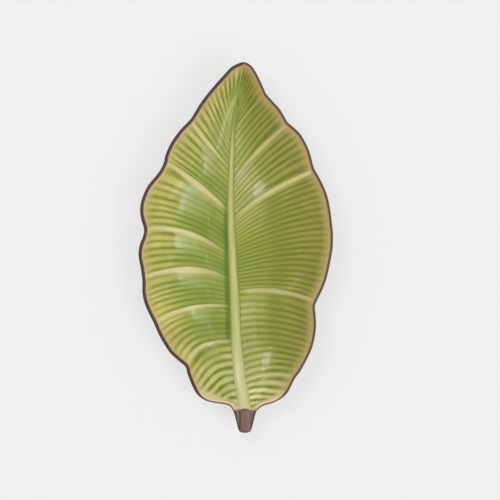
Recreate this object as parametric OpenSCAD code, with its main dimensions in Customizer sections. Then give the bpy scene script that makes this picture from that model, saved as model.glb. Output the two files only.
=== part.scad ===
// Leaf-shaped glazed stoneware plate: a shallow leaf dish with a raised midrib, moulded veins,
// a brown rim, a short stem and a bare foot ring. +Y runs along the leaf to its tip, +Z is up,
// and the origin is on the table under the middle of the plate.

/* [Leaf] */
// Length of the plate from the end of the stem to the tip
leaf_l = 280; // [200:1:360]
// Width of the plate across its widest lobes
leaf_w = 147; // [110:1:190]
// Height of the tip's rim above the table
leaf_h = 32; // [28:0.5:40]
// Height of the rim along the two sides
side_h = 27; // [24:0.5:34]
// Height of the rim where the leaf meets the stem
stem_end_h = 20.5; // [18:0.5:26]
// How far the rim dips at each notch
notch_dip = 1.2; // [0:0.1:2]

/* [Clay wall] */
// Thickness of the clay floor
floor_t = 4.8; // [4:0.1:7]
// Depth of the rim's rounded edge
edge_t = 4.4; // [3:0.1:6]
// Undercut of the rim's lower edge
edge_tuck = 1; // [0.5:0.1:2]
// Rise of the floor towards the tip
tip_rise = 12; // [6:0.5:16]
// Rise of the floor towards the stem
stem_rise = 10.5; // [8:0.5:12]

/* [Relief] */
// Height of the fine ribs between their grooves
rib_h = 0.7; // [0.3:0.05:1]
// Height of the main veins above the fine ribs
vein_h = 0.9; // [0.3:0.05:1.4]
// Sag of each panel between two main veins
panel_sag = 1.1; // [0:0.1:2]

/* [Midrib] */
// Width of the midrib at the stem
midrib_w = 7.9; // [6:0.1:10]
// Width of the midrib at its tip end
midrib_tip_w = 1.6; // [1:0.1:3]
// Height of the midrib above the floor at the stem
midrib_h = 1.9; // [1:0.1:3]
// Height of the midrib at its tip end
midrib_tip_h = 0.7; // [0.4:0.1:1.2]
// Width of the channel on each side of the midrib
channel_w = 0.9; // [0.5:0.1:1.5]

/* [Stem] */
// Width of the stem where it leaves the leaf
stem_w = 18.5; // [14:0.5:19]
// Thickness of the stem's body
stem_t = 6.6; // [5:0.1:8]
// Rise of the stem over its own length
stem_lift = 2; // [0:0.1:4]

/* [Coats] */
// Thickness of the glaze on the leaf's face
glaze_t = 0.4; // [0.3:0.05:0.6]
// Extra depth of glaze pooled in the grooves
pool_t = 0.25; // [0:0.05:0.4]
// Thickness of the brown coat on the rim and the underside
coat_t = 0.35; // [0.2:0.05:0.5]
// Width of the brown rim seen from above
rim_w = 2.9; // [2:0.1:4]

/* [Foot ring] */
// Height of the foot ring
foot_h = 2.2; // [1.5:0.1:4]
// Length of the foot ring
foot_l = 112; // [90:1:116]
// Width of the foot ring
foot_w = 50; // [40:1:52]
// Thickness of the foot ring's wall
foot_wall = 5; // [3:0.5:7]

/* [Hidden] */

// Colours of the clay and of the coats
clay = [0.66, 0.50, 0.38];
bare_clay = [0.72, 0.60, 0.48];
brown = [0.30, 0.20, 0.16];
stem_brown = [0.45, 0.35, 0.32];
green = [0.58, 0.66, 0.26];
pale_green = [0.78, 0.77, 0.46];

// Places on the leaf's edge are counted in panels from the tip: whole numbers are the notches
// where the main veins end, negative on the left and positive on the right.
LEFT = -1;
RIGHT = 1;

// Edge of the leaf: panel count, share of the width, share of the length
edge_shares = [
    [-7, -0.016, -0.439], [-6.93, -0.030, -0.429], [-6.85, -0.058, -0.4235], [-6.7, -0.109, -0.4195],
    [-6.58, -0.154, -0.4135], [-6.47, -0.188, -0.402], [-6.35, -0.213, -0.385], [-6.1, -0.248, -0.342],
    [-6.05, -0.2545, -0.327], [-6, -0.263, -0.319], [-5.82, -0.297, -0.304], [-5.62, -0.340, -0.282],
    [-5.3, -0.391, -0.239], [-5, -0.422, -0.203], [-4.71, -0.454, -0.169], [-4.46, -0.473, -0.142],
    [-4.22, -0.481, -0.115], [-4.11, -0.480, -0.093], [-4, -0.4825, -0.079], [-3.83, -0.487, -0.060],
    [-3.48, -0.500, -0.018], [-3.29, -0.493, 0.009], [-3.13, -0.477, 0.031], [-3, -0.472, 0.050],
    [-2.82, -0.487, 0.079], [-2.67, -0.492, 0.106], [-2.49, -0.479, 0.137], [-2.34, -0.452, 0.167],
    [-2.13, -0.404, 0.198], [-2.07, -0.383, 0.2145], [-2, -0.3695, 0.231], [-1.8, -0.362, 0.249],
    [-1.5, -0.3325, 0.283], [-1.2, -0.2835, 0.319], [-1, -0.239, 0.343], [-0.93, -0.2245, 0.353],
    [-0.75, -0.178, 0.3925], [-0.5, -0.1205, 0.4305], [-0.3, -0.067, 0.462], [-0.13, -0.018, 0.488],
    [0, 0.036, 0.500], [0.25, 0.080, 0.490], [0.45, 0.103, 0.473], [0.7, 0.125, 0.451],
    [0.9, 0.144, 0.429], [1, 0.1555, 0.416], [1.27, 0.186, 0.397], [1.6, 0.223, 0.376],
    [1.88, 0.251, 0.353], [1.94, 0.261, 0.343], [2, 0.272, 0.336], [2.14, 0.290, 0.328],
    [2.33, 0.3265, 0.310], [2.51, 0.353, 0.289], [2.68, 0.374, 0.266], [2.83, 0.387, 0.245],
    [2.93, 0.397, 0.224], [3, 0.407, 0.210], [3.115, 0.437, 0.182], [3.2, 0.464, 0.150],
    [3.29, 0.481, 0.117], [3.45, 0.4975, 0.052], [3.535, 0.500, 0.020], [3.615, 0.495, -0.012],
    [3.78, 0.470, -0.077], [3.87, 0.448, -0.110], [4, 0.415, -0.146], [4.05, 0.407, -0.158],
    [4.113, 0.410, -0.177], [4.247, 0.413, -0.207], [4.407, 0.407, -0.239], [4.572, 0.391, -0.272],
    [4.748, 0.363, -0.304], [4.93, 0.329, -0.336], [5, 0.3065, -0.3515], [5.16, 0.289, -0.369],
    [5.336, 0.268, -0.390], [5.5, 0.2365, -0.407], [5.68, 0.191, -0.4195], [5.87, 0.140, -0.428],
    [6, 0.112, -0.439]
];
// Line of the midrib: share of the length, share of the width
midline_shares = [
    [-0.439, 0.047], [-0.398, 0.036], [-0.358, 0.0215], [-0.310, 0.012], [-0.250, 0.0015],
    [-0.142, -0.0065], [-0.007, -0.0187], [0.128, -0.027], [0.263, -0.021], [0.330, -0.0135],
    [0.398, 0.004], [0.500, 0.036]
];
// Where the main veins leave the midrib, as shares of the length
left_root_shares = [0.398, 0.219, 0.104, -0.018, -0.084, -0.158, -0.253, -0.439];
right_root_shares = [0.398, 0.319, 0.183, 0.081, -0.119, -0.361, -0.439];
// Main veins: panel count, angle at the midrib, angle at the edge, and the two ends' reach
left_vein_shares = [
    [0, 98, 98, 0.33, 0.33], [1, 52, 52, 0.33, 0.33], [2, 42, 28, 0.33, 0.33],
    [3, 38, -10, 0.33, 0.33], [4, 27, -19, 0.36, 0.33], [5, 7, -33, 0.33, 0.33],
    [6, 0, -66, 0.5, 0.4], [7, 0, 0, 0.33, 0.33]
];
right_vein_shares = [
    [0, 82, 82, 0.33, 0.33], [1, 62, 48, 0.33, 0.33], [2, 57, 37, 0.33, 0.33],
    [3, 44, 22, 0.33, 0.33], [4, 8, -22, 0.33, 0.33], [5, 28, -8, 0.33, 0.33],
    [6, 0, 0, 0.33, 0.33]
];
// Fine ribs in each panel, from the tip to the stem
left_ribs = [11, 7, 8, 6, 7, 7, 9];
right_ribs = [7, 6, 7, 21, 13, 5];

// Height of the rim: panel count, share of the way from the stem's end to the sides and the tip
rim_rise_shares = [
    [-7, 0], [-6, 0.75], [-5, 1], [-2.5, 1], [-1, 1.35], [0, 2], [1, 1.45], [2, 1.15],
    [3, 1], [4.4, 1], [5, 0.8], [6, 0]
];

// Ends of the level floor, as shares of the length
level_lo_share = -0.252;
level_hi_share = 0.19;
// Edge of the level floor, from the midrib to the rim, and how the wall climbs from there
level_share = 0.22;
wall_climb = 1.8;

// Columns of the face between the midrib and the rim, and of the underside back to the midrib
face_shares = [0, 0.2, 0.42, 0.66, 0.85, 1];
under_shares = [0.78, 0.56, 0.4, 0];
// The underside stays level this far out from the midrib
under_flat_share = 0.4;
// How strongly the relief stands at each column of the face
relief_shares = [0, 0.85, 1, 1, 0.9, 0.3];
// Section of the rim: its crest as a share of the rim's width, the drop from there to the face and
// to its outermost line as shares of the edge's depth
crest_share = 0.4;
face_drop_share = 0.2;
outer_drop_share = 0.45;
// Step in panel counts that gives the direction of the edge
count_step_share = 0.02;

// Width of the stem along its length: share of its length, share of its width
stem_shares = [[0, 1], [0.22, 0.84], [0.44, 0.74], [0.67, 0.63], [0.86, 0.53], [0.95, 0.43], [1, 0.24]];
stem_sides = 28;
stem_stations = 10;
// Width of the midrib where it runs on along the stem
stem_rib_share = 0.46;
// Powers that round the stem's section and bring its thickness and its rib down with its width
stem_round = 0.7;
stem_thin = 0.6;
stem_rib_thin = 0.5;

midrib_stations = 34;
midrib_arc = 4;
// Powers that round the midrib's section and draw its end to a point
midrib_round = 0.7;
midrib_point = 0.6;
// Length of that point, and where it starts, as shares of the midrib's width there
midrib_taper_share = 4;
midrib_start_share = 2;

// Middle of the foot ring along the leaf, and how full its oval is
foot_mid_share = -0.033;
foot_full_share = 1.24;
foot_sides = 72;

face_n = len(face_shares);
under_n = len(under_shares);
rim_first = face_n - 1;
rim_n = 3;
edge_last = rim_first + rim_n;
coat_last = edge_last + under_n - 1;
ring_n = face_n + rim_n + under_n;

base_y = left_root_shares[len(left_root_shares) - 1] * leaf_l;
point_y = left_root_shares[0] * leaf_l;
level_lo = level_lo_share * leaf_l;
level_hi = level_hi_share * leaf_l;
floor_z = foot_h + floor_t;
stem_l = leaf_l / 2 + base_y;
stem_rib_h = midrib_h;
stem_mid_z = floor_z + stem_rise - floor_t + stem_t / 2;
midrib_start_y = point_y - midrib_start_share * (midrib_tip_w + channel_w);
midrib_taper = midrib_taper_share * midrib_tip_w;

// Slope of column c of a table at row i, from the rows on each side
function slope(t, i, c) =
    let (lo = max(i - 1, 0), hi = min(i + 1, len(t) - 1))
    (t[hi][c] - t[lo][c]) / (t[hi][0] - t[lo][0]);

// Column c of a table at u, on a smooth curve through its rows
function smooth(t, u, c) =
    let (
        i = max([0, for (k = [1:len(t) - 2]) if (t[k][0] <= u) k]),
        d = t[i + 1][0] - t[i][0],
        f = (u - t[i][0]) / d,
        m0 = slope(t, i, c) * d,
        m1 = slope(t, i + 1, c) * d
    )
    (2 * f ^ 3 - 3 * f ^ 2 + 1) * t[i][c] + (f ^ 3 - 2 * f ^ 2 + f) * m0
        + (3 * f ^ 2 - 2 * f ^ 3) * t[i + 1][c] + (f ^ 3 - f ^ 2) * m1;

function counted(list) = [for (i = [0:len(list) - 1]) [i, list[i]]];

function edge_at(h) = [smooth(edge_shares, h, 1) * leaf_w, smooth(edge_shares, h, 2) * leaf_l];

// Unit vector from the edge into the leaf
function inward(h) =
    let (
        lo = max(h - count_step_share, edge_shares[0][0]),
        hi = min(h + count_step_share, edge_shares[len(edge_shares) - 1][0]),
        d = edge_at(hi) - edge_at(lo)
    )
    [d[1], -d[0]] / norm(d);

function midline_x(y) = smooth(midline_shares, y / leaf_l, 1) * leaf_w;

// Share of the way from the midrib's tip end to the stem
function down_share(y) = (midrib_start_y - y) / (midrib_start_y - base_y);

function midrib_full(y) = (midrib_tip_w + (midrib_w - midrib_tip_w) * max(0, down_share(y))) / 2;

// The midrib runs out to a point at its tip end
function taper(y) = min(1, max(0, midrib_start_y - y) / midrib_taper) ^ midrib_point;
function midrib_half(y) = midrib_full(y) * taper(y);

// Half the gap that the two halves of the face leave for the midrib and its channels
function seam_half(y) =
    y > midrib_start_y
        ? (midrib_full(midrib_start_y) + channel_w) * (point_y - y) / (point_y - midrib_start_y)
        : midrib_full(y) + channel_w;

// Height of the floor along the midrib
function floor_at(y) =
    y > level_hi ? floor_z + tip_rise * ((y - level_hi) / (leaf_l / 2 - level_hi)) ^ 2
    : y < level_lo ? floor_z + stem_rise * ((level_lo - y) / (level_lo - base_y)) ^ 2
    : floor_z;

// Height of the rim's crest at panel count h
function rim_at(h) =
    let (
        s = smooth(rim_rise_shares, h, 1),
        top = s <= 1 ? stem_end_h + (side_h - stem_end_h) * s : side_h + (leaf_h - side_h) * (s - 1),
        ends = min(1, abs(h)) * min(1, 2 * min(h + len(left_ribs), len(right_ribs) - h))
    )
    top - notch_dip * ends * (1 + cos(360 * h)) / 2;

function climb(t) = t <= level_share ? 0 : ((t - level_share) / (1 - level_share)) ^ wall_climb;

function panels(side) = side == LEFT ? left_ribs : right_ribs;
function roots(side) = counted(side == LEFT ? left_root_shares : right_root_shares);
function veins(side) = side == LEFT ? left_vein_shares : right_vein_shares;

// Rows of one side, two to a rib: panel count and how many ribs of its panel lie before it
function rows(side) =
    let (ribs = panels(side), last = len(ribs) - 1)
    [for (p = [0:last]) for (k = [0:2 * ribs[p] - (p == last ? 0 : 1)]) [p + k / (2 * ribs[p]), k / 2]];

// Point of a row of one side, t of the way from the midrib to the rim, as seen from above
function row_curve(side, g) =
    let (
        y = lookup(g, roots(side)) * leaf_l,
        v = veins(side),
        root_turn = smooth(v, g, 1),
        rim_turn = smooth(v, g, 2),
        from = [midline_x(y) + side * seam_half(y), y],
        to = edge_at(side * g) + inward(side * g) * rim_w,
        span = norm(to - from)
    )
    [
        from,
        from + span * smooth(v, g, 3) * [side * cos(root_turn), sin(root_turn)],
        to - span * smooth(v, g, 4) * [side * cos(rim_turn), sin(rim_turn)],
        to
    ];

function on_curve(c, t) =
    (1 - t) ^ 3 * c[0] + 3 * (1 - t) ^ 2 * t * c[1] + 3 * (1 - t) * t ^ 2 * c[2] + t ^ 3 * c[3];

function lift(p, z) = [p[0], p[1], z];

// The last row lies square across the leaf, where the stem joins it
function squared(p, last) = last ? [p[0], base_y] : p;

// Height of the clay face without its relief
function plain_z(p, t, rim) =
    floor_at(p[1]) * (1 - climb(t)) + (rim - edge_t * face_drop_share) * climb(t);

// Relief of the clay face at a row and a column: ribs, main veins and the sag of the panels
function relief(row, last_g, k) =
    let (
        wave = cos(360 * row[1]),
        main = row[1] == 0 && row[0] > 0 && row[0] < last_g ? 1 : 0,
        sag = sin(180 * (row[0] - floor(row[0]))) * sin(180 * face_shares[k])
    )
    relief_shares[k] * (rib_h / 2 * wave + vein_h * main) - panel_sag * sag * min(1, row[0]);

// Ring of points round the section of one row: face, rim and underside, in clay or with its coats
function ring(side, row, coated) =
    let (
        last_g = len(panels(side)),
        last = row[0] >= last_g,
        h = side * row[0],
        c = row_curve(side, row[0]),
        e = edge_at(h),
        n = last ? [-side, 0] : inward(h),
        rim = rim_at(h),
        skin = coated ? coat_t : 0,
        pool = pool_t * (1 - cos(360 * row[1])) / 2,
        face = [for (k = [0:face_n - 1])
            let (t = face_shares[k], p = squared(on_curve(c, t), last))
            lift(p, plain_z(p, t, rim) + relief(row, last_g, k)
                + (coated ? glaze_t + pool * relief_shares[k] : 0))],
        edge = [
            lift(squared(e + n * rim_w * crest_share, last), rim - coat_t + skin),
            lift(squared(e + n * (coat_t - skin), last), rim - edge_t * outer_drop_share),
            lift(squared(e + n * (coat_t - skin + edge_tuck), last), rim - edge_t - skin)
        ],
        under = [for (t = under_shares)
            let (p = squared(on_curve(c, t), last), up = t > under_flat_share ? t : 0)
            lift(p, plain_z(p, up, rim) - floor_t - skin)]
    )
    concat(face, edge, under);

function rings(side, coated) = [for (row = rows(side)) ring(side, row, coated)];

left_clay = rings(LEFT, false);
right_clay = rings(RIGHT, false);
left_skin = rings(LEFT, true);
right_skin = rings(RIGHT, true);

// Stations along the midrib's seat, from its tip end to the stem
seat_ys = [for (i = [0:midrib_stations]) midrib_start_y + (base_y - midrib_start_y) * i / midrib_stations];

function arc_z(y, k, extra) =
    let (f = k / midrib_arc, s = max(0, down_share(y)))
    floor_at(y) + extra
        + (midrib_tip_h + (midrib_h - midrib_tip_h) * s) * taper(y) * (1 - (2 * f - 1) ^ 2) ^ midrib_round;

function arc_line(y, extra) =
    [for (k = [0:midrib_arc])
        [midline_x(y) + midrib_half(y) * (2 * k / midrib_arc - 1), y, arc_z(y, k, extra)]];

seat_left = [for (y = seat_ys) [midline_x(y) - midrib_half(y), y, floor_at(y)]];
seat_right = [for (y = seat_ys) [midline_x(y) + midrib_half(y), y, floor_at(y)]];
arc_clay = [for (y = seat_ys) arc_line(y, 0)];
arc_skin = [for (y = seat_ys) arc_line(y, glaze_t)];

function column(grid, k) = [for (r = grid) r[k]];

// Triangles over a grid of rows, each turned over when flip is true
function tri(a, b, c, flip) = flip ? [a, c, b] : [a, b, c];
function quad(a, b, c, d, flip) = [tri(a, b, c, flip), tri(a, c, d, flip)];
function patch(grid, first, last, flip) =
    [for (i = [0:len(grid) - 2]) for (k = [first:last - 1])
        each quad(grid[i][k], grid[i + 1][k], grid[i + 1][k + 1], grid[i][k + 1], flip)];

// Triangles between two lines that both run from the tip down to the stem
function zip(a, b, flip) =
    [for (i = 0, j = 0, down = true; i + j <= len(a) + len(b) - 2;
            down = j >= len(b) - 1 || (i < len(a) - 1 && a[i + 1][1] >= b[j + 1][1]),
            i = i + (down ? 1 : 0), j = j + (down ? 0 : 1))
        if (i + j > 0) down ? tri(a[i - 1], a[i], b[j], flip) : tri(a[i], b[j], b[j - 1], flip)];

// Wall between the clay line and the skin line of one edge of a coat
function wall(a, b, flip) =
    [for (i = [0:len(a) - 2]) each quad(a[i], a[i + 1], b[i + 1], b[i], flip)];

function slice(list, first, last) = [for (k = [first:last]) list[k]];

// Closed coat over columns first to last of one side
function coat(clay_grid, skin_grid, first, last, flip) =
    let (n = len(clay_grid) - 1)
    concat(
        patch(clay_grid, first, last, !flip),
        patch(skin_grid, first, last, flip),
        wall(column(clay_grid, first), column(skin_grid, first), flip),
        wall(column(clay_grid, last), column(skin_grid, last), !flip),
        wall(slice(clay_grid[0], first, last), slice(skin_grid[0], first, last), !flip),
        wall(slice(clay_grid[n], first, last), slice(skin_grid[n], first, last), flip)
    );

// Solid from a list of triangles given by their corners, less those that have no area
module solid(faces) {
    kept = [for (f = faces) if (f[0] != f[1] && f[1] != f[2] && f[2] != f[0]) f];
    polyhedron([for (f = kept) each f], [for (i = [0:len(kept) - 1]) [3 * i, 3 * i + 1, 3 * i + 2]]);
}

module leaf_body() {
    n = len(left_clay) - 1;
    m = len(right_clay) - 1;
    s = midrib_stations;
    seam = ring_n - 1;
    color(clay) solid(concat(
        patch(left_clay, 0, seam, false),
        patch(right_clay, 0, seam, true),
        zip(column(left_clay, 0), seat_left, true),
        wall(seat_left, seat_right, true),
        zip(seat_right, column(right_clay, 0), true),
        zip(column(left_clay, seam), column(right_clay, seam), false),
        base_faces(left_clay[n], right_clay[m], seat_left[s], seat_right[s])
    ));
}

// Flat end of the leaf where the stem joins it
function base_faces(left_ring, right_ring, left_seat, right_seat) =
    let (seam = ring_n - 1)
    concat(
        [[left_ring[0], left_seat, left_ring[seam]], [right_seat, right_ring[0], right_ring[seam]]],
        quad(left_seat, left_ring[seam], right_ring[seam], right_seat, true),
        fan(left_ring, seam, true),
        fan(right_ring, seam, false)
    );

// One side of the flat end, as a fan from the foot of its seam
function fan(r, seam, flip) = [for (k = [0:seam - 2]) tri(r[seam], r[k], r[k + 1], flip)];

module midrib() {
    s = midrib_stations;
    color(clay) solid(concat(
        patch(arc_clay, 0, midrib_arc, true),
        wall(seat_left, seat_right, false),
        [for (k = [1:midrib_arc - 1]) tri(arc_clay[s][0], arc_clay[s][k], arc_clay[s][k + 1], false)]
    ));
}

module face_glaze() {
    color(green) solid(coat(left_clay, left_skin, 0, rim_first, false));
    color(green) solid(coat(right_clay, right_skin, 0, rim_first, true));
}

module rim_coat() {
    color(brown) solid(coat(left_clay, left_skin, rim_first, edge_last, false));
    color(brown) solid(coat(right_clay, right_skin, rim_first, edge_last, true));
}

module underside_coat() {
    color(brown) solid(coat(left_clay, left_skin, edge_last, coat_last, false));
    color(brown) solid(coat(right_clay, right_skin, edge_last, coat_last, true));
}

// Outline of the foot ring, an oval drawn to a soft point at each end
function foot_outline(l, w) =
    [for (i = [0:foot_sides - 1]) let (a = 360 * i / foot_sides)
        [w / 2 * sign(cos(a)) * abs(cos(a)) ^ foot_full_share, l / 2 * sin(a)]];

module foot_ring() {
    color(bare_clay)
        translate([midline_x(foot_mid_share * leaf_l), foot_mid_share * leaf_l, 0])
            linear_extrude(foot_h)
                difference() {
                    polygon(foot_outline(foot_l, foot_w));
                    polygon(foot_outline(foot_l - 2 * foot_wall, foot_w - 2 * foot_wall));
                }
}

module midrib_glaze() {
    n = len(left_clay) - 1;
    m = len(right_clay) - 1;
    s = midrib_stations;
    color(pale_green) solid(concat(
        zip(column(left_skin, 0), column(arc_skin, 0), true),
        patch(arc_skin, 0, midrib_arc, true),
        zip(column(arc_skin, midrib_arc), column(right_skin, 0), true),
        zip(column(left_clay, 0), seat_left, false),
        patch(arc_clay, 0, midrib_arc, false),
        zip(seat_right, column(right_clay, 0), false),
        wall(column(left_clay, 0), column(left_skin, 0), true),
        wall(column(right_clay, 0), column(right_skin, 0), false),
        wall(
            concat([left_clay[n][0]], arc_clay[s], [right_clay[m][0]]),
            concat([left_skin[n][0]], arc_skin[s], [right_skin[m][0]]),
            true
        )
    ));
}

// How far the midrib stands above the stem, at x from its middle
function stem_rib(x) =
    let (r = 2 * x / (stem_rib_share * stem_w))
    stem_rib_h * max(0, 1 - r * r) ^ stem_rib_thin;

// Section of the stem at share u of its length: a flat oval with the midrib running on along its top
function stem_section(u) =
    let (
        w = smooth(stem_shares, u, 1),
        t = stem_t / 2 * w ^ stem_thin,
        y = base_y - u * stem_l,
        z = stem_mid_z + stem_lift * u ^ 2
    )
    [for (i = [0:stem_sides - 1])
        let (
            a = 360 * i / stem_sides,
            x = stem_w / 2 * w * cos(a),
            up = sin(a),
            rib = up > 0 ? stem_rib(x) * w ^ stem_rib_thin : 0
        )
        [midline_x(base_y) + x, y, z + sign(up) * t * abs(up) ^ stem_round + rib]];

module stem() {
    n = stem_stations;
    sections = [for (i = [0:n]) stem_section(i / n)];
    color(stem_brown) solid(concat(
        [for (i = [0:n - 1]) for (k = [0:stem_sides - 1]) let (j = (k + 1) % stem_sides)
            each quad(sections[i][k], sections[i][j], sections[i + 1][j], sections[i + 1][k], true)],
        [for (k = [1:stem_sides - 2]) each [
            tri(sections[0][0], sections[0][k], sections[0][k + 1], false),
            tri(sections[n][0], sections[n][k], sections[n][k + 1], true)
        ]]
    ));
}

leaf_body();
midrib();
stem();
foot_ring();
face_glaze();
midrib_glaze();
rim_coat();
underside_coat();
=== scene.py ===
import math

import bpy
import numpy as np
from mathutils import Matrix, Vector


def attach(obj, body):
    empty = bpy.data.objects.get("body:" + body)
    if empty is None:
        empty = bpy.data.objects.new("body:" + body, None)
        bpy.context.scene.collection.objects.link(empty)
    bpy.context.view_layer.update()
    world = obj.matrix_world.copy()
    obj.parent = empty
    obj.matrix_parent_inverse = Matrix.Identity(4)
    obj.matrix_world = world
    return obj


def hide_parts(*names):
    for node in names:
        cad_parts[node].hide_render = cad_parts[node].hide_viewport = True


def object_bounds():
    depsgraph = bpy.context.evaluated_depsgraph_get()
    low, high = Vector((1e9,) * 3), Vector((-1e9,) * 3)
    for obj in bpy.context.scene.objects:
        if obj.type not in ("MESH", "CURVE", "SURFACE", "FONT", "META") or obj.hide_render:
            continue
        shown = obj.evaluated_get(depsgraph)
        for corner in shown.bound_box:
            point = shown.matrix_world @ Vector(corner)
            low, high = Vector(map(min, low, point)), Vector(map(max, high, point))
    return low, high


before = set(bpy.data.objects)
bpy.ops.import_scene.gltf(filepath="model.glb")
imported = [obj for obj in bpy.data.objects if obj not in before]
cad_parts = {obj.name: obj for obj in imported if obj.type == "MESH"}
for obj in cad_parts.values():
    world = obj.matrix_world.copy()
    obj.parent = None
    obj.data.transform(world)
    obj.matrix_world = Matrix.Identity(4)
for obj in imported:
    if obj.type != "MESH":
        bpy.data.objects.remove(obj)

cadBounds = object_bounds()
millimetre = 0.001
print("frame loaded")

# the leaf, in millimetres and shares, as in the part's own source
leafForm = {
    "length": 280, "width": 147, "tipRim": 32, "sideRim": 27, "stemRim": 20.5, "notchDip": 1.2,
    "floorThickness": 4.8, "edgeDepth": 4.4, "edgeTuck": 1, "tipRise": 12, "stemRise": 10.5,
    "midribWidth": 7.9, "midribTipWidth": 1.6, "midribHeight": 1.9, "midribTipHeight": 0.7,
    "pointLength": 4, "pointFullness": 0.6,
    "channel": 0.9, "glaze": 0.4, "coat": 0.35, "rimWidth": 2.9, "footHeight": 2.2,
    "levelShare": 0.22, "wallClimb": 1.8, "levelLowShare": -0.252, "levelHighShare": 0.19,
    "crestShare": 0.4, "faceDropShare": 0.2, "outerDropShare": 0.45, "flatShare": 0.4,
}
# panel count from the tip (left is negative), share of the width, share of the length
edgeShares = [
    (-7, -0.016, -0.439), (-6.93, -0.030, -0.429), (-6.85, -0.058, -0.4235), (-6.7, -0.109, -0.4195),
    (-6.58, -0.154, -0.4135), (-6.47, -0.188, -0.402), (-6.35, -0.213, -0.385), (-6.1, -0.248, -0.342),
    (-6.05, -0.2545, -0.327), (-6, -0.263, -0.319), (-5.82, -0.297, -0.304), (-5.62, -0.340, -0.282),
    (-5.3, -0.391, -0.239), (-5, -0.422, -0.203), (-4.71, -0.454, -0.169), (-4.46, -0.473, -0.142),
    (-4.22, -0.481, -0.115), (-4.11, -0.480, -0.093), (-4, -0.4825, -0.079), (-3.83, -0.487, -0.060),
    (-3.48, -0.500, -0.018), (-3.29, -0.493, 0.009), (-3.13, -0.477, 0.031), (-3, -0.472, 0.050),
    (-2.82, -0.487, 0.079), (-2.67, -0.492, 0.106), (-2.49, -0.479, 0.137), (-2.34, -0.452, 0.167),
    (-2.13, -0.404, 0.198), (-2.07, -0.383, 0.2145), (-2, -0.3695, 0.231), (-1.8, -0.362, 0.249),
    (-1.5, -0.3325, 0.283), (-1.2, -0.2835, 0.319), (-1, -0.239, 0.343), (-0.93, -0.2245, 0.353),
    (-0.75, -0.178, 0.3925), (-0.5, -0.1205, 0.4305), (-0.3, -0.067, 0.462), (-0.13, -0.018, 0.488),
    (0, 0.036, 0.500), (0.25, 0.080, 0.490), (0.45, 0.103, 0.473), (0.7, 0.125, 0.451),
    (0.9, 0.144, 0.429), (1, 0.1555, 0.416), (1.27, 0.186, 0.397), (1.6, 0.223, 0.376),
    (1.88, 0.251, 0.353), (1.94, 0.261, 0.343), (2, 0.272, 0.336), (2.14, 0.290, 0.328),
    (2.33, 0.3265, 0.310), (2.51, 0.353, 0.289), (2.68, 0.374, 0.266), (2.83, 0.387, 0.245),
    (2.93, 0.397, 0.224), (3, 0.407, 0.210), (3.115, 0.437, 0.182), (3.2, 0.464, 0.150),
    (3.29, 0.481, 0.117), (3.45, 0.4975, 0.052), (3.535, 0.500, 0.020), (3.615, 0.495, -0.012),
    (3.78, 0.470, -0.077), (3.87, 0.448, -0.110), (4, 0.415, -0.146), (4.05, 0.407, -0.158),
    (4.113, 0.410, -0.177), (4.247, 0.413, -0.207), (4.407, 0.407, -0.239), (4.572, 0.391, -0.272),
    (4.748, 0.363, -0.304), (4.93, 0.329, -0.336), (5, 0.3065, -0.3515), (5.16, 0.289, -0.369),
    (5.336, 0.268, -0.390), (5.5, 0.2365, -0.407), (5.68, 0.191, -0.4195), (5.87, 0.140, -0.428),
    (6, 0.112, -0.439),
]
midlineShares = [
    (-0.439, 0.047), (-0.398, 0.036), (-0.358, 0.0215), (-0.310, 0.012), (-0.250, 0.0015),
    (-0.142, -0.0065), (-0.007, -0.0187), (0.128, -0.027), (0.263, -0.021), (0.330, -0.0135),
    (0.398, 0.004), (0.500, 0.036),
]
rimRiseShares = [
    (-7, 0), (-6, 0.75), (-5, 1), (-2.5, 1), (-1, 1.35), (0, 2), (1, 1.45), (2, 1.15),
    (3, 1), (4.4, 1), (5, 0.8), (6, 0),
]
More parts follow.
